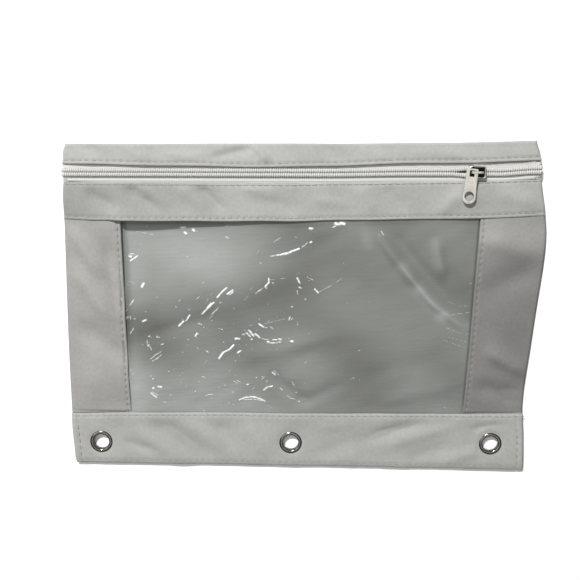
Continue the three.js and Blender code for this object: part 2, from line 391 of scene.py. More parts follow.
def crease(x, y, start, end, height, width):
    """A soft ridge along a line; a negative height makes a fold that dips."""
    (x0, y0), (x1, y1) = start, end
    length = math.hypot(x1 - x0, y1 - y0)
    ux, uy = (x1 - x0) / length, (y1 - y0) / length
    along = (x - x0) * ux + (y - y0) * uy
    aside = (y - y0) * ux - (x - x0) * uy
    taper = smooth(-0.25 * length, 0.3 * length, along) * smooth(
        1.25 * length, 0.7 * length, along)
    return CREASE_DEPTH * height * taper * np.exp(-((aside / width) ** 2))


def sheet_mesh(name, x, y, z, u, v, material, thickness=0.0, holes=(), marks=None):
    """A sheet from arrays of the same shape, in millimetres. holes are (x, y, radius), and
    marks are values kept on its points."""
    rows, columns = x.shape
    mesh = bpy.data.meshes.new(name)
    points = np.stack([x, y, z], axis=-1).reshape(-1, 3) * MM
    corner = (np.arange(rows - 1)[:, None] * columns + np.arange(columns - 1)[None, :]).ravel()
    faces = np.stack([corner, corner + 1, corner + 1 + columns, corner + columns], axis=1)
    mesh.from_pydata(points.tolist(), [], faces.tolist())
    layer = mesh.uv_layers.new(name="cut")
    flat = np.stack([np.broadcast_to(u, x.shape), np.broadcast_to(v, x.shape)], axis=-1)
    flat = flat.reshape(-1, 2) * MM
    index = np.zeros(len(mesh.loops), int)
    mesh.loops.foreach_get("vertex_index", index)
    layer.data.foreach_set("uv", flat[index].ravel())
    for key, values in (marks or {}).items():
        kept = mesh.attributes.new(key, "FLOAT", "POINT")
        kept.data.foreach_set("value", np.clip(values, 0, 1).ravel())
    if holes:
        punch(mesh, holes)
    mesh.shade_smooth()
    mesh.materials.append(material)
    piece = put(name, mesh)
    if thickness:
        solid = piece.modifiers.new("thickness", "SOLIDIFY")
        solid.thickness, solid.offset = thickness * MM, -1
    return piece


def punch(mesh, holes):
    """Cuts round holes: faces inside go, and the points around them move to the circle."""
    edit = bmesh.new()
    edit.from_mesh(mesh)
    for hx, hy, radius in holes:
        centre = Vector((hx, hy)) * MM
        gone = [f for f in edit.faces
            if (f.calc_center_median().xy - centre).length < radius * MM]
        bmesh.ops.delete(edit, geom=gone, context="FACES")
        for point in edit.verts:
            aside = point.co.xy - centre
            if point.is_boundary and aside.length < (radius + 2) * MM:
                point.co.xy = centre + aside.normalized() * radius * MM
    edit.to_mesh(mesh)
    edit.free()


def seam(distance, along, row=HEM_ROW):
    """The relief beside a folded, stitched edge: a rounded edge, a groove under the stitches,
    and cloth drawn in between one stitch and the next."""
    roll = np.clip(distance / 0.8, 0, 1)
    edge = -0.6 * (1 - np.sqrt(roll * (2 - roll)))
    pull = 0.65 + 0.35 * np.cos(math.tau * along / STITCH_PITCH)
    groove = -0.5 * pull * np.exp(-(((distance - row) / 0.6) ** 2))
    pucker = 0.16 * ripple(along, 0 * along, 11, 5) * np.exp(-(((distance - row) / 3.5) ** 2))
    return edge + groove + pucker


print("cloth helpers ready")

# %% [markdown]
# ## The shape of the pouch
# A few rules hold the pieces together, as the pattern does on a sewing table: where the side
# edges run, how the zip end of the pouch drifts up towards the right, where the window starts,
# and how high the face stands over the back. Each piece then adds its own hems and creases.

# %% The pattern
HALF_WIDTH = 125
TOP_Y, FOLD_R = 89.0, 1.6
TOP_BAND_RISE = 2.1
ZIP_Y = 74.6
TOP_BAND_EDGE, LOWER_BAND_TOP, LOWER_BAND_EDGE = 78.4, 69.4, 49.3
STRIP_Y = -57.8
BOTTOM_Y = -88.6
PLY, FOLDED_PLY = 0.4, 0.35  # thickness of the cloth, and where it is pressed in a fold


def left_side(y):
    return (-125.7 - 0.9 * bell(y, -25, 60) + 1.0 * smooth(60, 75, y) + 1.5 * smooth(84, 90, y)
        + 0.9 * smooth(-62, -89, y) + 0.9 * smooth(-84, -90, y))


def right_side(y):
    spread = np.where(np.asarray(y) > 40, 27, 38)
    return (124.2 + 6.2 * np.exp(-(((y - 40) / spread) ** 2)) - 1.7 * bell(y, -52, 22)
        + 1.0 * bell(y, -6, 28) - 1.6 * smooth(84, 90, y))


def drift(x):
    """How far the zip end of the pouch lies above its straight line."""
    t = x / 117
    return -0.8 + 1.1 * t + 1.4 * t * t


def zip_line(x):
    """The middle of the zip: a little low along the left, and climbing at the right end."""
    return ZIP_Y - 0.6 * smooth(62, 10, x) + 1.2 * smooth(103, 123, x)


def window_left(y):
    return -94.2 - 1.0 * y / 50


def window_right(y):
    return 92.4 + 2.3 * y / 50


def side_distance(x, y):
    return np.minimum(x - left_side(y), right_side(y) - x)


def face_height(x, y):
    """The top of the cloth of the face, in millimetres over the surface it lies on."""
    aside = np.clip(side_distance(x, y), 0, None)
    belly = 1 - np.exp(-((aside / 13) ** 1.4))
    fuller = 0.9 * smooth(60, -80, x)
    low, high = 1.5, 4.2 + fuller + 0.25 * ripple(x, y, 60, 11) + 0.15 * ripple(x, y, 22, 3)
    z = low + (high - low) * belly
    near_zip = smooth(44, 60, y)
    z = z * (1 - near_zip) + near_zip * (3.2 + 0.9 * belly)
    z -= (1.9 + fuller) * smooth(-36, -60, y) * belly
    roll = np.clip(aside / 1.1, 0, 1)
    return z - 1.0 * (1 - np.sqrt(roll * (2 - roll)))


print("width at the bulge", round(float(right_side(40.0) - left_side(40.0)), 1), "mm")

# %% [markdown]
# ## Side panels
# Each is one piece of cloth with a folded inner edge, stitched down beside the window. The
# outer edge is sewn to the back and turned, so it curls down to meet it.

# %% Side panels
LEFT_CREASES = [
    ((-121, 22), (-101, -6), 0.7, 5), ((-104, 38), (-98, 4), -0.5, 4),
    ((-118, -8), (-97, -26), -0.6, 6), ((-122, 44), (-108, 20), 0.5, 4),
]
RIGHT_CREASES = [
    ((97, 40), (126, 30), 0.6, 6), ((101, -22), (122, -34), 0.7, 4), ((98, 10), (124, 22), -0.5, 7),
    ((96, -42), (120, -48), -0.5, 5),
]


def finish_cloth(piece, body, nodes):
    """Hands a finished cloth piece to the body named by a string; for any other body its transform
    is only baked.
    """
    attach(piece, body) if isinstance(body, str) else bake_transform(piece)
    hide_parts(*nodes)
    print(piece.name, len(piece.data.polygons), "faces")


def side_panel(node_name, outer, inner, creases, painted_shade, columns=60, rows=150):
    y = np.linspace(STRIP_Y - 2.2, LOWER_BAND_EDGE + 3, rows)[:, None] * np.ones((1, columns))
    across = np.linspace(0, 1, columns) ** 0.8
    x = outer(y) + (inner(y) - outer(y)) * across[None, :]
    z = face_height(x, y) - 0.45
    z = z + sum(crease(x, y, *fold) for fold in creases) * smooth(52, 46, y) * smooth(-57, -50, y)
    z = z + seam(np.abs(inner(y) - x), y)
    z = np.maximum(z - 1.1 * smooth(STRIP_Y + 1.0, STRIP_Y - 0.6, y), 0.8)
    if x[0, 0] > x[0, -1]:
        x, y, z = x[:, ::-1], y[:, ::-1], z[:, ::-1]
    piece = sheet_mesh(node_name + "_cloth", x, y, z, x, y, PANEL_CLOTH, PLY,
        marks={"painted_shade": painted_shade * smooth(46, 18, y) + 0.1 * painted_shade})
    finish_cloth(piece, "pouch", [node_name])


side_panel("side_panel_left", left_side, window_left, LEFT_CREASES, 0.0)
# Painted shade darkens the right panel, most from y = 18 mm down, for the shade of its slope.
side_panel("side_panel_right", right_side, window_right, RIGHT_CREASES, 0.68)

# %% [markdown]
# ## Window
# The film is sewn behind the panels and bands. It is loose, so it hangs lower than the cloth
# round it and lies in shallow dents, with a few straight creases where it has been folded.
# The film is one surface without a thickness, because it is clear and only 0.3 mm thick.

# %% Window film
FILM_CREASES = [
    ((42, 40), (61, 15), 0.45, 3.0), ((56, 22), (72, 3), 0.6, 2.6), ((70, 5), (88, -9), 0.45, 2.6),
    ((50, 40), (80, 6), -0.45, 4.0), ((72, 38), (76, 19), 0.3, 3.0),
    ((-14, -37), (4, -53), -0.4, 4.0), ((0, -52), (26, -40), -0.2, 4.0),
    ((26, -40), (88, -22), -0.16, 5.0), ((-88, -16), (-50, -4), -0.3, 4.0),
    ((-50, -4), (-6, 22), 0.16, 6.0), ((-30, -26), (22, -12), 0.4, 5.0),
    ((4, 34), (26, 42), -0.12, 4.0), ((44, -52), (88, -40), 0.2, 5.0),
]
HAZY_FOLDS = [
    ((54, 25), (63, 12), 0.2), ((63, 12), (76, -2), 0.4), ((76, -2), (88, -9), 0.2),
    ((71, 37), (73, 26), 0.14), ((34, 43), (36, 36), 0.14),
]
# Painted highlights: glints off creases as strokes, by how white and how wide they are: the places
# that each runs through.
FAINT, PLAIN, BRIGHT = 0.5, 0.72, 1.0
STROKES = {
    (FAINT, 0.7): [
        ((-16.5, 17.1), (-12.4, 17.6), (-7.5, 18.1)), ((2.6, 21.3), (6.5, 19.2)),
        ((76, 0.3), (80.4, -1.9), (91.9, -0.2)), ((78.6, 5.9), (83.9, 3.2), (91.9, 3.2)),
        ((89.2, 15.9), (93.7, 15)), ((78.6, -8.9), (85.7, -11.7), (92, -12.5)),
        ((76.8, -15.4), (89.2, -20.2)), ((80, -14), (91, -17)),
    ],
    (FAINT, 0.8): [
        ((-51.3, 3.4), (-49.6, 6.4)), ((-48.2, 8.3), (-47.3, 9.4)), ((-29.8, 6.1), (-28.1, 8.3)),
        ((-49.4, -4.6), (-47.2, -2.7)), ((-27.9, -8.3), (-25, -7.8)),
        ((-93.9, -28.6), (-93.5, -29.8)), ((-79.2, -45.2), (-77.6, -45)),
        ((-49.6, -49.8), (-47.8, -49.5)), ((-2, 20.3), (-0.5, 21)), ((41.1, 42.1), (43, 39.9)),
        ((27.3, -38.5), (29.3, -37), (30, -38.4)),
    ],
    (FAINT, 0.85): [
        ((10.4, 10.7), (15.7, 13.6), (22, 17.9)),
    ],
    (FAINT, 0.9): [
        ((-87.4, 42.3), (-79.1, 41)), ((-93.9, 15.9), (-91.5, 15.6), (-89.5, 14.2)),
        ((-86.4, -18.9), (-85.6, -19.6)), ((-19.8, -7.4), (-12.7, -5.4), (-8.5, -4.4)),
        ((-92.6, -32.4), (-92.1, -35.2)), ((-18.7, -53.1), (-15.7, -55.2)),
        ((-37.6, -53.2), (-36.2, -53.2)), ((-14.3, 37.4), (-10.4, 39.8)),
    ],
    (FAINT, 1.0): [
        ((-55.4, 43), (-54.6, 42.7)),
    ],
    (FAINT, 1.1): [
        ((-85.7, 35.8), (-85.3, 35.6)), ((-55.6, -39.9), (-55, -39.9)),
    ],
    (FAINT, 1.2): [
        ((-40.2, 45.6), (-37, 46.6)),
    ],
    (PLAIN, 0.7): [
        ((-15.9, -17.8), (-10.5, -17.2)), ((3.6, 18.6), (7, 16.9)),
        ((-14.2, -33.1), (-11.5, -35.9)),
    ],
    (PLAIN, 0.75): [
        ((-81.6, -27.3), (-79, -25), (-75.8, -23.1)),
        ((-80.8, -28.5), (-77.8, -26.8), (-75.6, -24.8)),
    ],
    (PLAIN, 0.8): [
        ((-91.5, 30.7), (-88.9, 29.9)), ((-47.8, -2.2), (-44.4, 1.3)), ((-43.3, 4), (-42.5, 4.8)),
        ((-23.8, 9.7), (-22.1, 11.3)), ((-92.5, -13.3), (-90.5, -10.2)),
        ((-82.3, -19.4), (-80.8, -22.2)), ((-75.6, -19.1), (-74.2, -18.6)),
        ((-19.6, -9), (-18, -9.5)), ((-16.2, -8.7), (-14.7, -10)), ((-20.6, -15.4), (-17.4, -16.1)),
        ((-4.9, -4.9), (-4.1, -3.7)), ((-1.6, -5.9), (-1.4, -7.4)),
        ((-81.1, -46.1), (-78.4, -47.8)), ((-52.1, -48.6), (-50.4, -47.4), (-48, -47.4)),
        ((-36.4, -39.3), (-34.2, -40.7)), ((-34.7, -38.7), (-32.5, -40.1)),
        ((-31, -50.6), (-26, -50.1), (-21, -50.8)), ((-16, 29.6), (-10.9, 30.5)),
        ((2.9, 36.4), (3.4, 37)), ((-24, 9.7), (-20.1, 12.6)), ((-1.7, 11.2), (-1.3, 9.2)),
        ((42.6, 43.3), (44, 41.3)), ((-6.9, -47.9), (-5.2, -49.5), (-2.7, -50.1)),
    ],
    (PLAIN, 0.9): [
        ((-92, 2.4), (-90, 5.6)), ((-96.2, 6.7), (-95.7, 5.6)), ((-37.9, 8.8), (-36, 10.4)),
        ((-92.1, -3.3), (-91.9, -4.9)), ((-55.2, -7.4), (-53.6, -8)),
        ((-82.6, -14.9), (-81.8, -14.6)), ((-83.4, -17.2), (-82.9, -20)),
        ((-75, -52.1), (-74.2, -52.1)), ((-24.1, -37.4), (-23.6, -37.2)),
        ((-39.5, -52.4), (-39, -52.6)), ((16.6, 45.4), (18.6, 45.9)), ((0.8, 34.8), (2.2, 35.8)),
        ((-20.9, -36.7), (-20.5, -36.7)), ((-4.4, -39.6), (-2.7, -42.7)),
        ((-2.3, -46.1), (-1.9, -46.1)), ((-0.8, -51.5), (-0.2, -51.5)),
    ],
    (PLAIN, 1.0): [
        ((-94.9, -5.5), (-93.2, -3.8)), ((-90, -4.9), (-89.4, -4.9)),
        ((-78.1, -15), (-76.8, -15.2)), ((-71.7, -47.8), (-71.2, -47.8)),
        ((-37, -45.9), (-36.5, -45.9)), ((-21.5, 26), (-21, 26)), ((2.4, 6.6), (2.8, 6.6)),
        ((-18.3, -39.3), (-17.7, -39.3)), ((-10.9, -43.4), (-9.6, -44.7)),
    ],
    (PLAIN, 1.1): [
        ((-31.3, -13.2), (-29.9, -13.2)), ((-80.8, -38.4), (-80.3, -38.4)),
        ((-41.3, -41.9), (-40.9, -41.9)), ((-14.8, 15.4), (-14.4, 15.4)),
        ((-4.8, 2.5), (-4.4, 2.5)),
    ],
    (PLAIN, 1.3): [
        ((-39.6, 39.8), (-38.4, 39.4)),
    ],
    (BRIGHT, 0.8): [
        ((-29.1, -12.2), (-27, -14.5)), ((-14.9, -16), (-12.8, -16)),
        ((-17.9, -17.2), (-16.2, -17.4)), ((-6.1, -4.9), (-5.6, -3.2)),
        ((-17, 18.1), (-16.8, 15.6), (-18.9, 13.4), (-18.2, 12.6)),
    ],
    (BRIGHT, 0.9): [
        ((-91.2, 26.7), (-87.3, 29.3)), ((-53.1, -2), (-49.6, 1.6), (-46.5, 4.5)),
        ((-44.8, 7.2), (-42, 10.4), (-39.5, 12.6)), ((-61.9, -6), (-59.7, -2.7)),
        ((-57, -14.1), (-55.9, -12.8)), ((-42, -23.4), (-38.1, -21.4)),
        ((-34.1, -23.4), (-32.2, -22.2)), ((-28, -10.8), (-26.6, -11.9)),
        ((-26.6, -15.9), (-26.1, -15.7)), ((-11.5, -15.5), (-10.3, -15.7)),
        ((-82.2, -46.7), (-78.8, -49.5)), ((-0.6, 13.1), (0.4, 12.7)), ((7.7, 12.2), (9.6, 9.9)),
        ((-15.2, -34.1), (-13.7, -35.7)), ((-20, -44.5), (-17.8, -42.7), (-15.1, -42.1)),
    ],
    (BRIGHT, 1.0): [
        ((-39.4, 9.1), (-36.3, 11.3)), ((-85.5, -6.3), (-83.5, -5.5)),
        ((-27.2, -11.6), (-25.2, -14)), ((-24.3, -12.8), (-21.9, -14.9)),
        ((-22.4, -7.2), (-19.9, -9)), ((-5.1, -16.5), (-3.9, -16.6)),
        ((-29, -41.3), (-28.3, -41.3)),
        ((-33.4, -50.6), (-30.3, -49.2), (-27.1, -48.7), (-24.5, -48.9)),
        ((-24.5, -48.9), (-21.6, -49.9), (-19.3, -51.2)),
        ((-10.9, 30.5), (-6.5, 31.7), (-0.7, 33.9)), ((5.1, 37.2), (5.9, 37.6)),
    ],
    (BRIGHT, 1.1): [
        ((-91.9, 29.4), (-90.8, 28.8)), ((-65.8, -8.8), (-63.3, -6.3)),
        ((-38.1, -21.2), (-36.1, -19.1)), ((-35.2, -15.6), (-33, -15.6)),
        ((-77.8, -42.8), (-76, -43.1)), ((-1.7, 18.1), (-0.3, 15.4)),
    ],
    (BRIGHT, 1.2): [
        ((-63.7, 44.8), (-61.3, 45)), ((-44.2, -26.7), (-42, -23.4)),
        ((-80.7, -43.8), (-80.2, -43.8)), ((4.8, 44.7), (6.2, 44.7)),
    ],
    (BRIGHT, 1.3): [
        ((-49.6, 2), (-48, 3.6)), ((-8, 31.1), (-6, 31.8)),
    ],
    (BRIGHT, 1.5): [
        ((-61.6, 42.2), (-61, 41.6)), ((-57.2, 43.6), (-56.6, 43.2)),
    ],
    (BRIGHT, 1.6): [
        ((-85.3, 12.6), (-84.5, 14.2)), ((18.3, 47.3), (20.6, 47)), ((21.3, 47.7), (23, 47.2)),
    ],
}


def from_segment(x, y, start, end):
    """How far each point is from the line between two places."""
    (x0, y0), (x1, y1) = start, end
    length = (x1 - x0) ** 2 + (y1 - y0) ** 2
    t = np.clip(((x - x0) * (x1 - x0) + (y - y0) * (y1 - y0)) / length, 0, 1)
    return np.hypot(x - x0 - t * (x1 - x0), y - y0 - t * (y1 - y0))


def near_segment(x, y, start, end, width):
    """1 on the line, fading softly over a width on both sides."""
    return np.exp(-((from_segment(x, y, start, end) / width) ** 2))


def tent(x, y, start, end, width):
    """1 on the line, falling straight to nothing: the profile of a painted glint stroke."""
    return np.clip(1.1 - from_segment(x, y, start, end) / (0.8 * width), 0, 1)


def window_film(columns=330, rows=190):
    y = np.linspace(STRIP_Y - 2, LOWER_BAND_EDGE + 3, rows)[:, None] * np.ones((1, columns))
    across = np.linspace(0, 1, columns)[None, :]
    left, right = window_left(y) - 3, window_right(y) + 3
    x = left + (right - left) * across
    across_it = smooth(0, 7, x - left) * smooth(0, 7, right - x)
    inside = across_it * smooth(-59, -50, y)
    under_band = smooth(LOWER_BAND_EDGE + 3, LOWER_BAND_EDGE - 5, y)
    sag = 0.15 + 3.6 * bell(x, -108, 70) * bell(y, 50, 75) + 0.5 * bell(x, 92, 20) * bell(y, 50, 30)
    dents = 0.3 * ripple(x, y, 40, 21) + 0.12 * ripple(x, y, 15, 22)
    z = face_height(x, y) - 0.95 + 0.25 * across_it - inside * sag * (0.8 + 0.2 * under_band)
    z = z + inside * under_band * (dents + sum(crease(x, y, *fold) for fold in FILM_CREASES))
    z = z - 0.8 * smooth(LOWER_BAND_EDGE + 1, LOWER_BAND_EDGE + 2.5, y)
    z = z - 1.0 * smooth(-1.0, 0.3, x - window_right(y))
    z = np.maximum(z, 1.0)
    # Painted highlights: where the glint specks and strokes lie.
    painted_glint_specks = 0.4 * bell(x, -50, 60) * (0.55 + 0.45 * bell(y, -30, 30))
    painted_glint_strokes = np.zeros_like(x)
    for (strength, width), strokes in STROKES.items():
        for places in strokes:
            for start, end in zip(places, places[1:]):
                painted_glint_strokes = np.maximum(painted_glint_strokes, strength * tent(x, y, start, end, width))
    # The haze value is partly painted light: it is raised towards the upper left of the window.
    haze_and_painted_light = 0.2 + 0.5 * bell(x, -60, 46) * bell(y, 30, 24) + 0.15 * ripple(x, y, 50, 23)
    # Painted shadow: the haze is lowered where the lower band's shadow falls at the left, so the
    # film is darker there.
    haze_and_painted_light = haze_and_painted_light - 0.3 * smooth(45, 47.5, y) * bell(x, -108, 70)
    haze_and_painted_light = haze_and_painted_light + 0.4 * bell(y, -46, 18) * smooth(20, -50, x) + 0.12 * bell(y, -52, 12)
    haze_and_painted_light = haze_and_painted_light - 0.22 * near_segment(x, y, (-86, -8), (0, 16), 11) + 0.15 * smooth(-78, -92, x)
    for start, end, more in HAZY_FOLDS:
        haze_and_painted_light = haze_and_painted_light + more * near_segment(x, y, start, end, 3.2)
    piece = sheet_mesh("window_film", x, y, z, x - x.min(), y - y.min(), VINYL,
        marks={"painted_glint_specks": painted_glint_specks, "haze_and_painted_light": haze_and_painted_light, "painted_glint_strokes": painted_glint_strokes})
    finish_cloth(piece, "pouch", ["window_sheet"])


window_film()

# %% [markdown]
# ## Back panel
# One plain rectangle. It lies on the surface, so it can only rise from it, in low blisters.


# %% Back panel
def back_panel(columns=150, rows=100):
    y = np.linspace(STRIP_Y - 1.6, 85.5, rows)[:, None] * np.ones((1, columns))
    across = np.linspace(0, 1, columns)[None, :]
    left, right = left_side(y) + 0.3, right_side(y) - 0.3
    x = left + (right - left) * across
    lap = smooth(TOP_BAND_EDGE - 3, TOP_BAND_EDGE, y) + smooth(STRIP_Y + 3, STRIP_Y, y)
    blister = np.clip(0.35 * ripple(x, y, 40, 31) + 0.12 * ripple(x, y, 15, 32), 0, None)
    edge = 1 - smooth(0, 6, side_distance(x, y))
    z = 0.45 + blister * (1 - lap) * (1 - edge) + 0.5 * lap + 0.15 * edge
    piece = sheet_mesh("back_panel_cloth", x, y, z, x, y, PANEL_CLOTH, PLY)
    finish_cloth(piece, "pouch",
        ["back_panel", "side_seam_left", "side_seam_right"])


back_panel()

# %% [markdown]
# ## Lower band
# A folded strip between the zip and the window, stitched along both edges. Its lower edge
# stands off the film a little, most towards the left, and throws a shadow on it.

# %% Lower band
BAND_CREASES = [
    ((-54, 67), (-41, 54), -0.45, 3.2), ((-63, 66), (-50, 55), 0.35, 3.5),
    ((-92, 66), (-76, 56), -0.4, 3.6), ((-84, 66), (-70, 57), 0.3, 3.5),
    ((-113, 63), (-98, 56), -0.35, 3.6), ((-30, 67), (-14, 61), 0.3, 3.5),
    ((-22, 62), (-2, 54), -0.25, 4), ((30, 67), (38, 54), 0.3, 4), ((44, 66), (54, 56), -0.22, 4),
    ((83, 64), (73, 53), 0.3, 3.6), ((104, 64), (122, 58), 0.25, 4), ((8, 60), (26, 57), 0.2, 3),
]


ZIP_ROW = 1.1  # the row beside the zip runs closer to its edge


def lower_band(columns=360, rows=30):
    v = np.linspace(0, 1, rows)[:, None] * np.ones((1, columns))
    u = np.linspace(0, 1, columns)[None, :]
    guess = -HALF_WIDTH + 2 * HALF_WIDTH * u * np.ones_like(v)
    wave = 0.25 * ripple(guess, 0 * guess, 45, 41)
    bottom = LOWER_BAND_EDGE + drift(guess) + wave
    top = LOWER_BAND_TOP + drift(guess) * 0.85 + 0.6 * wave
    y = bottom + (top - bottom) * v
    x = left_side(y) + (right_side(y) - left_side(y)) * u
    lift = 0.2 + 2.9 * bell(x, -112, 68) * smooth(-103, -93, x)
    lift = lift * np.exp(-((y - bottom) / 9)) * smooth(0, 12, side_distance(x, y))
    under_pull = 1.5 * bell(x, 88, 9) * bell(y, 61, 7)
    z = face_height(x, y) + lift + under_pull
    folds = sum(crease(x, y, *fold) for fold in BAND_CREASES) * smooth(0, 4, top - y)
    z = z + folds * (0.3 + 0.7 * smooth(0, 4, y - bottom))
    z = z + seam(y - bottom, x) + 0.9 * seam(top - y, x + 1.3, ZIP_ROW)
    # A soft ceiling, so that no crease stands up past the slider's pull.
    room = 6.1 + 1.8 * smooth(57, 51, y) - z
    z = z + room - 0.3 * np.log1p(np.exp(room / 0.3))
    z = np.maximum(z, 1.2)
    # Painted shade darkens the band towards its left end.
    piece = sheet_mesh("lower_band_cloth", x, y, z, x, y, BAND_CLOTH, PLY,
        marks={"painted_shade": 0.3 * smooth(-30, -85, x)})
    finish_cloth(piece, "pouch", ["lower_band"])


lower_band()

# %% [markdown]
# ## Top band
# One strip folded over the top edge of the pouch. Its outline is followed as one line: up the
# front leg, round the fold and down the back leg. The front leg's lower edge is stitched.

# %% Top band
TOP_CREASES = [
    ((-24, 88), (-17, 80), 0.4, 2.0), ((-46, 82), (-27, 86), -0.35, 2.2),
    ((-112, 87), (-98, 80), -0.25, 3), ((-92, 88), (-80, 80), 0.25, 3),
    ((-70, 84), (-54, 82), 0.2, 2.5), ((10, 87), (26, 80), -0.2, 3), ((58, 86), (86, 83), 0.2, 3),
    ((32, 88), (44, 81), 0.18, 3),
]


def top_edge(x):
    """The lower edge of the front leg."""
    return TOP_BAND_EDGE + drift(x) + 0.3 * ripple(x, 0 * x, 50, 51) - 0.8 * bell(x, -25, 32)


def top_band(columns=360, rows=46):
    front, round_it, behind = 9.0, math.pi * FOLD_R, 8.0
    along = np.linspace(0, front + round_it + behind, rows)[:, None] * np.ones((1, columns))
    u = np.linspace(0, 1, columns)[None, :]
    guess = -HALF_WIDTH + 2 * HALF_WIDTH * u * np.ones_like(along)
    wave = 0.3 * ripple(guess, 0 * guess, 50, 51)
    crown = TOP_Y - FOLD_R + 0.9 * drift(guess) + 0.3 * wave + 1.0 * bell(guess, -25, 75)
    edge = top_edge(guess)
    bend = np.clip((along - front) / FOLD_R, 0, math.pi)
    leg = np.clip(along / front, 0, 1)
    y = edge + (crown - edge) * leg + FOLD_R * np.sin(bend) - np.clip(
        along - front - round_it, 0, None)
    x = left_side(y) + (right_side(y) - left_side(y)) * u
    aside = np.clip(side_distance(x, y), 0, None)
    full = 0.85 + 0.15 * smooth(0, 12, aside)
    middle = 0.1 + FOLD_R * full
    lean = (TOP_BAND_RISE * full) * (1 - leg) ** 1.2
    puff = 0.3 * np.sin(math.pi * leg) * (1 - smooth(0, 0.6, bend)) * smooth(0, 8, aside)
    z = middle + FOLD_R * full * np.cos(bend) + puff + lean
    faced = bend < 0.7
    z = z + np.where(faced, sum(crease(x, y, *fold) for fold in TOP_CREASES), 0)
    z = z + np.where(faced, seam(y - edge, x), 0)
    pinch = 1 - np.clip(aside / 1.4, 0, 1)
    z = z + (middle - z) * pinch**2 * 0.8 * smooth(0.1, 0.5, leg)
    z = np.clip(z, 0.05, 6.1)
    piece = sheet_mesh("top_band_cloth", x, y, z, x, along, BAND_CLOTH, FOLDED_PLY)
    finish_cloth(piece, "pouch",
        ["top_band_front", "top_band_fold", "top_band_back"])


top_band()

# %% [markdown]
# ## Binder strip
# One strip wraps the bottom of the pouch: down the front, round the bottom fold and up the
# back. Three holes are punched through both plies. The cloth crosses the fold line between
# the pouch and the strip, and is attached to neither body.

# %% Binder strip
EYELET_Y = -75.0
RING_X = [-110.5, -5.1, 105.5]
CLOTH_HOLE = 4.95
STRIP_ROW, SIDE_ROW = 1.4, 3.4  # stitches from the strip's long edges and from its ends
STRIP_CREASES = [
    ((-80, -62), (-52, -84), -0.42, 5.5), ((-92, -66), (-63, -87), 0.3, 4.5),
    ((-66, -60), (-40, -80), 0.28, 5), ((-45, -63), (-37, -79), -0.25, 4.5),
    ((-97, -75), (-81, -80), -0.25, 3), ((-30, -64), (-18, -82), 0.2, 5),
    ((40, -72), (70, -60), -0.4, 3.4), ((46, -77), (84, -64), 0.3, 4),
    ((10, -82), (42, -70), -0.22, 5), ((78, -86), (102, -78), 0.25, 3.4),
    ((96, -66), (112, -63), -0.3, 2.6), ((8, -66), (30, -62), 0.2, 4),
    ((60, -84), (84, -76), -0.22, 4),
]


def bottom_edge(x):
    out = x / HALF_WIDTH
    return BOTTOM_Y + 0.7 - 1.5 * out - 0.5 * out**2 + 0.25 * ripple(x, 0 * x, 70, 61)


def strip_top(x):
    return STRIP_Y + 0.25 * ripple(x, 0 * x, 60, 62) - 1.0 * smooth(-92, -125, x)


def strip_height(x, y):
    """The front of the strip: it climbs over the bottom of the pouch, and lies flat round
    each eyelet, which it is pinched under."""
    z = 2.35 + 0.15 * ripple(x, y, 30, 63)
    z = z + sum(crease(x, y, *fold) for fold in STRIP_CREASES)
    z = np.maximum(z, 1.35)
    for ring in RING_X:
        away = np.hypot(x - ring, y - EYELET_Y)
        z = z + (1.95 - z) * (1 - smooth(6.5, 12, away)) + 0.22 * bell(away, 8.3, 1.6)
    climb = smooth(-68, -58.5, y)
    return np.maximum(z * (1 - climb) + climb * (face_height(x, y) + 0.55), 1.35 + 0.5 * climb)


def binder_strip(columns=420, rows=40):
    leg = np.concatenate([np.linspace(0, 1, rows), np.ones(5), np.linspace(1, 0, rows)])
    bend = np.concatenate([np.zeros(rows), np.linspace(0.5, 2.64, 5), np.full(rows, math.pi)])
    u = np.linspace(0, 1, columns)[None, :]
    guess = -HALF_WIDTH + 2 * HALF_WIDTH * u * np.ones((len(leg), 1))
    leg, bend = leg[:, None] + 0 * guess, bend[:, None] + 0 * guess
    top, bottom = strip_top(guess), bottom_edge(guess)
    y = top + (bottom - top) * leg
    x = left_side(y) + (right_side(y) - left_side(y)) * u
    behind = bend > math.pi / 2
    front = strip_height(x, y) + seam(top - y, x, STRIP_ROW) + seam(y - bottom, x, STRIP_ROW)
    front = front + 0.7 * seam(side_distance(x, y), y, SIDE_ROW)
    back = 0.75 * (1 - smooth(-64.5, -58.5, y)) + 0.06
    round_it = 0.5 * (front - back)
    z = np.where(behind, back, front)
    turning = (bend > 0) & (bend < math.pi)
    z = np.where(turning, back + round_it * (1 + np.cos(bend)), z)
    y = y - np.where(turning, 0.45 * np.sin(bend), 0)
    pinch = (1 - np.clip(side_distance(x, y) / 1.2, 0, 1)) ** 2 * smooth(-58, -62, y)
    z = z + (0.5 * (front + back) - z) * 0.7 * pinch
    holes = [(ring, EYELET_Y, CLOTH_HOLE) for ring in RING_X]
    cut_v = np.concatenate([np.linspace(0, 31, rows), np.linspace(31.2, 32.4, 5),
        np.linspace(32.6, 63.6, rows)])[:, None]
    piece = sheet_mesh("binder_strip_cloth", x, y, z, x, cut_v + 0 * x, BAND_CLOTH,
        FOLDED_PLY, holes)
    above, below = (0, -62.2 * MM, 1.25 * MM), (0, -65.6 * MM, 1.25 * MM)
    finish_cloth(piece, ("pouch", "binder_strip", above, below),
        ["lip_front", "lip_back", "strip_front_ply", "strip_back_ply"])


binder_strip()

# %% [markdown]
# ## Zip
# The tape's two halves lie under the bands, edge to edge along the middle of the zip. Each is
# a narrow sheet with a low rib 4 mm from the middle, and its outer edge is tucked under.


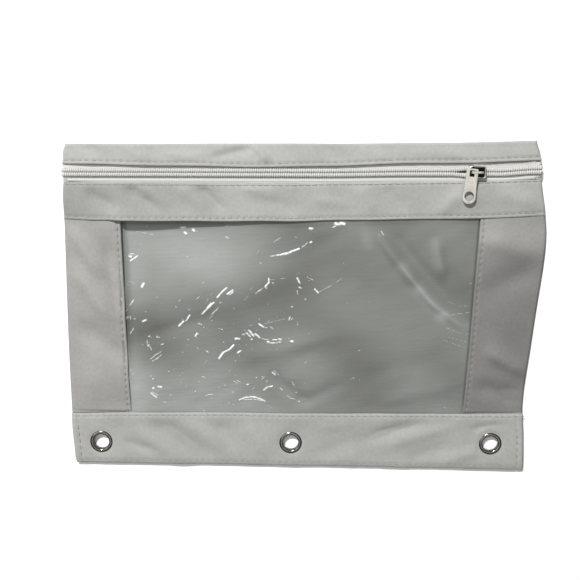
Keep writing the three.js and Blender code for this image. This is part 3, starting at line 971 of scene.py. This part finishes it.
# %% Zip tapes
def tape(node_name, inner, outer, columns=300, rows=30):
    x = np.linspace(-122.5, 122.5, columns)[None, :] * np.ones((rows, 1))
    y = zip_line(x) + np.linspace(outer, inner, rows)[:, None]
    away = np.abs(y - zip_line(x))
    hidden = smooth(4.4, 5.6, away)
    flat = 3.62 + 0.06 * ripple(x, y, 20, 71) + 0.18 * bell(away, 4.0, 0.5)
    tucked = np.minimum(3.5, face_height(x, y) - 0.55) - 0.35 * np.clip(away - 5, 0, None)
    z = np.maximum(flat + (tucked - flat) * hidden, 0.9)
    if outer > inner:
        x, y, z = x[::-1], y[::-1], z[::-1]
    piece = sheet_mesh(node_name + "_knit", x, y, z, x, y, TAPE, PLY)
    finish_cloth(piece, "pouch", [node_name])


tape("zip_tape_upper", 0.5, 8.2)
tape("zip_tape_lower", -0.5, -8.6)

# %% [markdown]
# ### A tree that repeats a shape along a path
# A row of the coil has about 220 teeth, and a seam has nearly 70 stitches. The same tree of
# Geometry Nodes makes them all: it puts one small shape at even steps along a path, turned to
# follow it. Its inputs are the path, the step, the shape, how unevenly it turns and the
# material.


# %% Repeat along a path
def repeat_tree():
    tree = bpy.data.node_groups.new("repeat_along_path", "GeometryNodeTree")
    for name, kind in (("Path", "Geometry"), ("Step", "Float"), ("Shape", "Object"),
            ("Uneven", "Float"), ("Material", "Material")):
        tree.interface.new_socket(name, in_out="INPUT", socket_type="NodeSocket" + kind)
    tree.interface.new_socket("Geometry", in_out="OUTPUT", socket_type="NodeSocketGeometry")
    given = node(tree, "NodeGroupInput").outputs
    points = node(tree, "GeometryNodeCurveToPoints", {
        "Curve": given["Path"], "Length": given["Step"],
    }, mode="LENGTH")
    facing = node(tree, "FunctionNodeAlignRotationToVector", {
        "Vector": points.outputs["Tangent"],
    }, axis="X", pivot_axis="Z")
    spread = node(tree, "ShaderNodeMath", {0: given["Uneven"], 1: -1.0}, operation="MULTIPLY")
    random = node(tree, "FunctionNodeRandomValue", {
        2: spread.outputs[0], 3: given["Uneven"], "Seed": 4,
    }, data_type="FLOAT")
    twist = node(tree, "ShaderNodeCombineXYZ", {"Z": random.outputs[1]})
    turned = node(tree, "FunctionNodeRotateRotation", {
        "Rotation": facing.outputs[0], "Rotate By": twist.outputs[0],
    }, rotation_space="LOCAL")
    shape = node(tree, "GeometryNodeObjectInfo", {"Object": given["Shape"]})
    placed = node(tree, "GeometryNodeInstanceOnPoints", {
        "Points": points.outputs["Points"], "Instance": shape.outputs["Geometry"],
        "Rotation": turned.outputs[0],
    })
    real = node(tree, "GeometryNodeRealizeInstances", {"Geometry": placed.outputs[0]})
    painted = node(tree, "GeometryNodeSetMaterial", {
        "Geometry": real.outputs[0], "Material": given["Material"],
    })
    node(tree, "NodeGroupOutput", {"Geometry": painted.outputs[0]})
    return tree


REPEAT = repeat_tree()


def mesh_of(edit, name, *materials):
    """The finished edit as a mesh with its materials."""
    mesh = bpy.data.meshes.new(name)
    edit.to_mesh(mesh)
    edit.free()
    for material in materials:
        mesh.materials.append(material)
    return mesh


def bead(name, length, width, height):
    """A small rounded shape, longest along X, sitting on z = 0."""
    edit = bmesh.new()
    bmesh.ops.create_uvsphere(edit, u_segments=8, v_segments=5, radius=1)
    for point in edit.verts:
        x, y, z = point.co
        blunt = math.copysign(abs(x) ** 0.5, x)
        point.co = Vector((blunt * length / 2, y * width / 2, (z + 1) * height / 2)) * MM
    mesh = mesh_of(edit, name)
    mesh.shade_smooth()
    return bpy.data.objects.new(name, mesh)


def path_object(name, lines):
    """Poly lines in millimetres as one curve object."""
    curve = bpy.data.curves.new(name, "CURVE")
    curve.dimensions = "3D"
    for line in lines:
        spline = curve.splines.new("POLY")
        spline.points.add(len(line) - 1)
        flat = [c for x, y, z in line for c in (x * MM, y * MM, z * MM, 1)]
        spline.points.foreach_set("co", flat)
    return put(name, curve)


def repeat_along(name, lines, step, shape, material, uneven=0.0):
    """The shape at even steps along the lines, as one plain mesh."""
    source = path_object(name + "_path", lines)
    source.modifiers.new("repeat", "NODES").node_group = REPEAT
    sockets = {item.name: item.identifier for item in REPEAT.interface.items_tree
        if item.in_out == "INPUT"}
    for key, value in {"Step": step * MM, "Shape": shape, "Material": material,
            "Uneven": uneven}.items():
        source.modifiers["repeat"][sockets[key]] = value
    source.update_tag()
    view = bpy.context.evaluated_depsgraph_get()
    mesh = bpy.data.meshes.new_from_object(source.evaluated_get(view), depsgraph=view)
    mesh.name = name
    bpy.data.objects.remove(source)
    print(name, len(mesh.polygons), "faces")
    return put(name, mesh)


# %% [markdown]
# ### Coil
# The coil is nylon wire wound in loops, and each loop shows as a small rounded tooth across
# the zip. The lower row is half a step along from the upper one. The rows run on through the
# slider and round both ends of the zip, and a gap opens between them just left of the slider,
# where its nose spreads them.

# %% Coil
TOOTH_STEP = 1.15
TOOTH_OFFSET = 1.12  # of a row from the middle of the zip
TOOTH_Z = 3.75
SLIDER_X = 91.5
FLAT_END = 118  # beyond this the zip's ends turn down
END_X, END_R = 123.6, 1.75
tooth = bead("tooth", 1.2, 2.6, 1.3)


def over_edge(reach):
    """How far a strip end has gone out and down after a length of it: flat, then round."""
    turn = np.clip((reach - (END_X - FLAT_END)) / END_R, 0, math.pi)
    out = np.minimum(FLAT_END + reach, END_X) + END_R * np.sin(turn)
    return out, END_R * (1 - np.cos(turn))


def coil_row(side, first, last, offset):
    x = np.arange(first, last, TOOTH_STEP / 2)
    opening = 0.65 * smooth(SLIDER_X - 13, SLIDER_X - 4.5, x) * smooth(
        SLIDER_X + 3, SLIDER_X - 2, x)
    y = zip_line(x) + side * (offset + opening)
    out, down = over_edge(np.clip(np.abs(x) - FLAT_END, 0, None))
    placed = np.where(np.abs(x) > FLAT_END, np.sign(x) * out, x)
    return np.stack([placed, y, TOOTH_Z - down], axis=1).tolist()


for side, which in ((1, "upper"), (-1, "lower")):
    start = 0 if side > 0 else TOOTH_STEP / 2
    rows = [coil_row(side, -126 + start, 126, TOOTH_OFFSET)]
    coil = repeat_along(f"coil_{which}_teeth", rows, TOOTH_STEP, tooth, NYLON)
    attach(coil, "pouch")
    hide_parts(f"coil_{which}")

# %% [markdown]
# ### Zip ends
# At both sides the tape is folded round the edge of the pouch and sewn in behind, and the
# teeth on it go round with it. Each end is the tape's last few millimetres, rolled down.


# %% Zip ends
def zip_end(node_name, side, columns=34, rows=24):
    reach = np.linspace(2.5, 11, columns)[None, :] * np.ones((rows, 1))
    at = side * 121
    middle = zip_line(at)
    low = LOWER_BAND_TOP + 0.85 * drift(at) - 0.2
    high = TOP_BAND_EDGE + drift(at) - 0.1
    y = np.linspace(low, high, rows)[:, None] * np.ones((1, columns))
    out, down = over_edge(reach)
    tucked = 0.7 * smooth(3.0, 5.0, np.abs(y - middle)) * np.cos(down / 2 / END_R)
    x, z = side * out, np.maximum(3.7 - down * 0.95 - tucked, 0.35)
    if side < 0:
        x, y, z = x[::-1], y[::-1], z[::-1]
    piece = sheet_mesh(node_name + "_fold", x, y, z, FLAT_END + reach, y, TAPE, 0.3)
    finish_cloth(piece, "pouch", [node_name])


zip_end("zip_end_left", -1)
zip_end("zip_end_right", 1)

# %% [markdown]
# ## Slider
# The slider is one small casting. Its CAD shape is right, so a copy of it is welded, its flat
# faces are joined up and its edges rounded, as a tumbled casting's are.


# %% Slider
def softened(node_name, name, width, material):
    """A copy of a CAD node with rounded edges."""
    edit = bmesh.new()
    edit.from_mesh(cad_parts[node_name].data)
    bmesh.ops.remove_doubles(edit, verts=edit.verts, dist=0.001 * MM)
    bmesh.ops.dissolve_limit(edit, angle_limit=math.radians(1), verts=edit.verts, edges=edit.edges)
    mesh = mesh_of(edit, name, material)
    mesh.shade_smooth()
    piece = put(name, mesh)
    bevel = piece.modifiers.new("rounded", "BEVEL")
    bevel.width, bevel.segments, bevel.angle_limit = width * MM, 3, math.radians(24)
    bevel.harden_normals = True
    return piece


slider = softened("slider_body", "slider_casting", 0.16, CASTING)
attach(slider, "slider")
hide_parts("slider_body")
print("slider", len(slider.data.polygons), "faces")

# %% [markdown]
# The top plate has a raised rim round a shallow hollow, and the hollow is painted near black:
# a painted reflection of the dark room. Both are thin plates, drawn as a shield outline that is
# drawn in and lifted.

# %% Rim and hollow
SHIELD = [
    (-4.6, 0.0), (-4.5, 1.6), (-3.9, 2.8), (-2.9, 3.3), (0.6, 3.2), (3.8, 3.0), (4.5, 2.5),
    (4.6, 0.0),
]
# Painted dark: a near-black metal standing in for dark reflections and shade, in the slider's
# hollow and the eyelets' bores.
PAINTED_DARK_METAL = nickel("painted_dark_metal", "#1f1d1b", "#131210", 0.3)


def shield_ring(name, steps, material):
    """Nested shield outlines, each (drawn in by, height), joined into one surface."""
    outline = SHIELD + [(x, -y) for x, y in SHIELD[-2:0:-1]]
    edit = bmesh.new()
    loops = []
    for inset, z in steps:
        loop = []
        for x, y in outline:
            size = math.hypot(x, y)
            loop.append(edit.verts.new(Vector((SLIDER_X + x * (1 - inset / size),
                ZIP_Y + y * (1 - inset / size), z)) * MM))
        loops.append(loop)
    for outer, inner in zip(loops, loops[1:]):
        for i in range(len(outline)):
            j = (i + 1) % len(outline)
            edit.faces.new((outer[i], inner[i], inner[j], outer[j]))
    edit.faces.new(loops[-1][::-1])
    edit.faces.new(loops[0])
    bmesh.ops.recalc_face_normals(edit, faces=edit.faces)
    piece = put(name, mesh_of(edit, name, material))
    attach(piece, "slider")
    print(name, len(piece.data.polygons), "faces")


shield_ring("slider_rim", [(0.0, 6.3), (0.1, 6.55), (0.35, 6.64), (0.65, 6.55), (0.75, 6.42)],
    CASTING)
shield_ring("slider_hollow", [(0.7, 6.38), (0.75, 6.5), (1.6, 6.46), (2.4, 6.44)], PAINTED_DARK_METAL)

# %% [markdown]
# ## Pull tab
# A flat tab, narrow at the slider and wider at the ring end. It hangs from the left post and
# leans a little to the left. It is the CAD's own shape, with its edges rounded.

# %% Pull tab
tab = softened("pull_tab", "pull_tab_casting", 0.22, CASTING)
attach(tab, "pull")
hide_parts("pull_tab")
print("pull tab", len(tab.data.polygons), "faces")

# %% [markdown]
# ## Eyelets and washers
# An eyelet is a steel tube with a rolled rim, set through the strip on a washer. Both are
# turned shapes: a profile spun round the hole's axis, as (radius, height). The wall of the
# bore is painted dark: painted shade and dark reflection inside the tube.

# %% Turned rings
EYELET_PROFILE = [
    (4.25, 0.15), (4.25, 2.2), (4.4, 2.62), (4.75, 2.86), (5.2, 2.9), (5.7, 2.8), (6.15, 2.52),
    (6.42, 2.15), (6.45, 1.98), (6.3, 1.95), (5.9, 2.1), (5.2, 2.25), (4.6, 2.1), (4.55, 0.15),
]
WASHER_PROFILE = [
    (4.9, 0.0), (4.9, 0.36), (5.2, 0.5), (5.8, 0.52), (6.35, 0.36), (6.5, 0.1), (6.4, 0.0),
]
BORE_WALL = 4.3 * MM


def spun_ring(name, profile, x, material, steps=72):
    edit = bmesh.new()
    loop = [edit.verts.new(Vector((r, 0, z)) * MM) for r, z in profile]
    edges = [edit.edges.new((a, b)) for a, b in zip(loop, loop[1:] + loop[:1])]
    bmesh.ops.spin(edit, geom=loop + edges, cent=(0, 0, 0), axis=(0, 0, 1), angle=math.tau,
        steps=steps, use_merge=True)
    bmesh.ops.remove_doubles(edit, verts=edit.verts, dist=0.002 * MM)
    bmesh.ops.recalc_face_normals(edit, faces=edit.faces)
    bmesh.ops.translate(edit, verts=edit.verts, vec=Vector((x, EYELET_Y, 0)) * MM)
    mesh = mesh_of(edit, name, material, PAINTED_DARK_METAL)
    mesh.shade_smooth()
    # Faces inside the bore get the painted dark metal: painted shade.
    for face in mesh.polygons:
        out = math.hypot(face.center.x - x * MM, face.center.y - EYELET_Y * MM)
        face.material_index = 1 if out < BORE_WALL else 0
    return put(name, mesh)


for ring, which in zip(RING_X, ("left", "middle", "right")):
    for kind, profile in (("eyelet", EYELET_PROFILE), ("washer", WASHER_PROFILE)):
        piece = spun_ring(f"{kind}_{which}_ring", profile, ring, EYELET_METAL)
        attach(piece, "binder_strip")
        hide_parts(f"{kind}_{which}")
print("rings at", RING_X)

# %% [markdown]
# ## Stitching
# Lockstitch: each stitch is a short thread that lies in a dimple, about 3.6 mm from the next.
# The rows are read off the finished cloth, so the thread lies on it. Rows on the pouch and on
# the strip are separate pieces, because they move apart.

# %% Stitch rows
STITCH = bead("stitch", 2.7, 0.42, 0.3)
THREAD_SUNK = 0.06


def surface(piece_name):
    """A finder of the height of a cloth's upper side at a place, both in millimetres."""
    piece = bpy.data.objects[piece_name]
    view = bpy.context.evaluated_depsgraph_get()
    shown = piece.evaluated_get(view)

    def height(x, y):
        hit, where, _, _ = shown.ray_cast(Vector((x, y, 60)) * MM, Vector((0, 0, -1)))
        return where.z / MM if hit else None
    return height


def row_on(piece_name, xs, ys):
    height = surface(piece_name)
    line = [(x, y, height(x, y)) for x, y in zip(xs, ys)]
    return [(x, y, z - THREAD_SUNK) for x, y, z in line if z is not None]


long_x = np.linspace(-122.5, 122.5, 246)
band_wave = 0.25 * ripple(long_x, 0 * long_x, 45, 41)
panel_y = np.linspace(STRIP_Y + 1.5, LOWER_BAND_EDGE - 1, 90)
band_low = LOWER_BAND_EDGE + drift(long_x) + band_wave
band_high = LOWER_BAND_TOP + 0.85 * drift(long_x) + 0.6 * band_wave
pouch_rows = [
    row_on("top_band_cloth", long_x, top_edge(long_x) + HEM_ROW),
    row_on("lower_band_cloth", long_x, band_low + HEM_ROW),
    row_on("lower_band_cloth", long_x, band_high - ZIP_ROW),
    row_on("side_panel_left_cloth", window_left(panel_y) - HEM_ROW, panel_y),
    row_on("side_panel_right_cloth", window_right(panel_y) + HEM_ROW, panel_y),
    row_on("binder_strip_cloth", long_x, strip_top(long_x) - STRIP_ROW),
]
strip_y = np.linspace(-66.5, -86, 24)
strip_rows = [
    row_on("binder_strip_cloth", long_x, bottom_edge(long_x) + STRIP_ROW),
    row_on("binder_strip_cloth", left_side(strip_y) + SIDE_ROW, strip_y),
    row_on("binder_strip_cloth", right_side(strip_y) - SIDE_ROW, strip_y),
]
for name, body, rows in (("pouch_stitching", "pouch", pouch_rows),
        ("strip_stitching", "binder_strip", strip_rows)):
    stitches = repeat_along(name, rows, STITCH_PITCH, STITCH, THREAD, 0.12)
    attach(stitches, body)

# %% [markdown]
# ## Floor and light
# A plain white floor, with one large soft light above the zip end on the left and a weak one
# to fill in. The light comes in low enough to show the creases and the edges of the bands.

# %% Floor and light
FLOOR_HALF = 3.0
floor_mesh = bpy.data.meshes.new("floor")
floor_mesh.from_pydata(
    [(FLOOR_HALF * i, FLOOR_HALF * j, 0) for i, j in ((-1, -1), (1, -1), (1, 1), (-1, 1))],
    [], [(0, 1, 2, 3)])
floor = put("floor", floor_mesh)
floor.location.z = -0.4 * MM
FLOOR_PAINT, floor_tree, floor_shader = new_material("white_backing_board")
feed(floor_tree, floor_shader, {"Base Color": linear("#fbfbfa"), "Roughness": 0.9})
floor_mesh.materials.append(FLOOR_PAINT)


def area_light(name, place, size, power, aim=(0, 0, 0)):
    light = put(name, bpy.data.lights.new(name, "AREA"))
    light.data.shape, light.data.size = "DISK", size
    light.data.energy = power
    light.location = place
    light.rotation_mode = "QUATERNION"
    light.rotation_quaternion = (Vector(aim) - Vector(place)).to_track_quat("-Z", "Y")


area_light("key_light", (-0.62, 1.6, 1.62), 0.18, 66)
area_light("left_light", (-1.0, 0.35, 0.9), 0.8, 3)
print("floor", floor.name, "with two lights")

# %% [markdown]
# The room is pale overhead and dark towards the horizon, which gives the metal something dark
# to mirror on its flanks.

# %% Room
world = bpy.data.worlds.new("room")
world.use_nodes = True
room_tree = world.node_tree
background = room_tree.nodes["Background"]
direction = node(room_tree, "ShaderNodeTexCoord").outputs["Generated"]
height = node(room_tree, "ShaderNodeSeparateXYZ", {0: direction}).outputs["Z"]
sky = ramp(room_tree, height, [(0.0, 0.03), (0.55, 0.10), (0.84, 0.25), (0.9, 1.0)])
feed(room_tree, background, {"Color": sky, "Strength": 0.95})
bpy.context.scene.world = world
bpy.context.scene.view_settings.view_transform = "Standard"
print("room", world.name)
